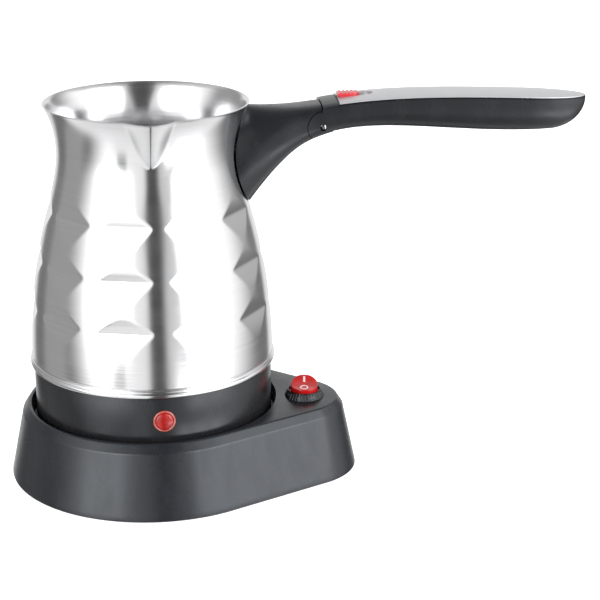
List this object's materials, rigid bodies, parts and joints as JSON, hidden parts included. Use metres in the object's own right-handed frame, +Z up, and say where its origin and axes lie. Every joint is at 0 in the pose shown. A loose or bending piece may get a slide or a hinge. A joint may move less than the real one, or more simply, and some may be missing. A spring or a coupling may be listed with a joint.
{
  "type": "electric turkish coffee maker",
  "caption": "Cordless electric coffee pot of embossed steel with a drawn spout and a folding handle, on a tear-drop power base with a round rocker switch.",
  "frame": {"origin": "on the pot's axis, on the table, at the height of the undersides of the feet", "axes": "+X along the handle from the pot to the tip of the grip, -Y towards the pouring spout, +Z up"},
  "size_m": [0.2372, 0.1199, 0.1561],
  "materials": {
    "charcoal_plastic": "satin moulded plastic",
    "black_plastic": "satin moulded plastic",
    "silver_plastic": "silver lacquered plastic",
    "slide_red": "glossy red plastic",
    "rocker_red": "translucent red plastic",
    "lens_red": "translucent red plastic",
    "lead_red": "insulated lead",
    "foot_rubber": "soft rubber",
    "pot_steel": "brushed stainless steel",
    "bright_steel": "polished stainless steel",
    "bracket_steel": "plain steel",
    "spring_steel": "spring steel",
    "element_steel": "dull steel tube",
    "zinc": "zinc plated",
    "plate_aluminium": "plain aluminium",
    "contact_brass": "plain brass",
    "ceramic": "glazed ceramic insulator"
  },
  "bodies": {
    "base": {"base_shell": "charcoal_plastic", "base_bottom_cover": "black_plastic", "base_feet": "foot_rubber", "base_screws": "zinc", "base_connector": "black_plastic", "base_contacts": "contact_brass", "switch_bezel": "black_plastic", "switch_body": "black_plastic", "switch_terminals": "contact_brass", "switch_nut": "black_plastic", "cord_gland": "black_plastic", "base_leads": "lead_red"},
    "rocker": {"switch_rocker": "rocker_red"},
    "pot": {"pot_body": "pot_steel", "trim_ring": "bright_steel", "heating_plate": "plate_aluminium", "heating_element": "element_steel", "element_terminals": "ceramic", "thermostat": "zinc", "thermal_fuse": "ceramic", "mounting_studs": "zinc", "pot_base_housing": "charcoal_plastic", "housing_screws": "zinc", "pot_connector": "black_plastic", "connector_pins": "contact_brass", "indicator_lens": "lens_red", "indicator_lamp": "ceramic", "handle_bracket": "bracket_steel", "handle_root": "charcoal_plastic", "root_screw": "zinc"},
    "grip": {"grip_shell": "charcoal_plastic", "grip_cover": "silver_plastic", "hinge_pin": "bright_steel", "hinge_washers": "bracket_steel", "grip_screws": "zinc", "latch_spring": "spring_steel"},
    "latch": {"latch_slider": "slide_red", "latch_bolt": "bracket_steel"}
  },
  "joints": [
    {"name": "pot_lift", "type": "slide", "parent": "base", "child": "pot", "axis": [0, 0, 1], "range_m": [0, 0.08]},
    {"name": "switch_rock", "type": "hinge", "parent": "base", "child": "rocker", "pos_m": [0.06184, -0.00759, 0.0315], "axis": [-0.9925, 0.1219, 0], "range_deg": [0, 32]},
    {"name": "handle_fold", "type": "hinge", "parent": "pot", "child": "grip", "pos_m": [0.0692, 0, 0.1437], "axis": [0, 1, 0], "range_deg": [0, 85]},
    {"name": "latch_slide", "type": "slide", "parent": "grip", "child": "latch", "axis": [1, 0, 0], "range_m": [0, 0.005], "stiffness_N_per_m": 400, "springref_m": -0.002, "deforming": ["latch_spring"]}
  ]
}
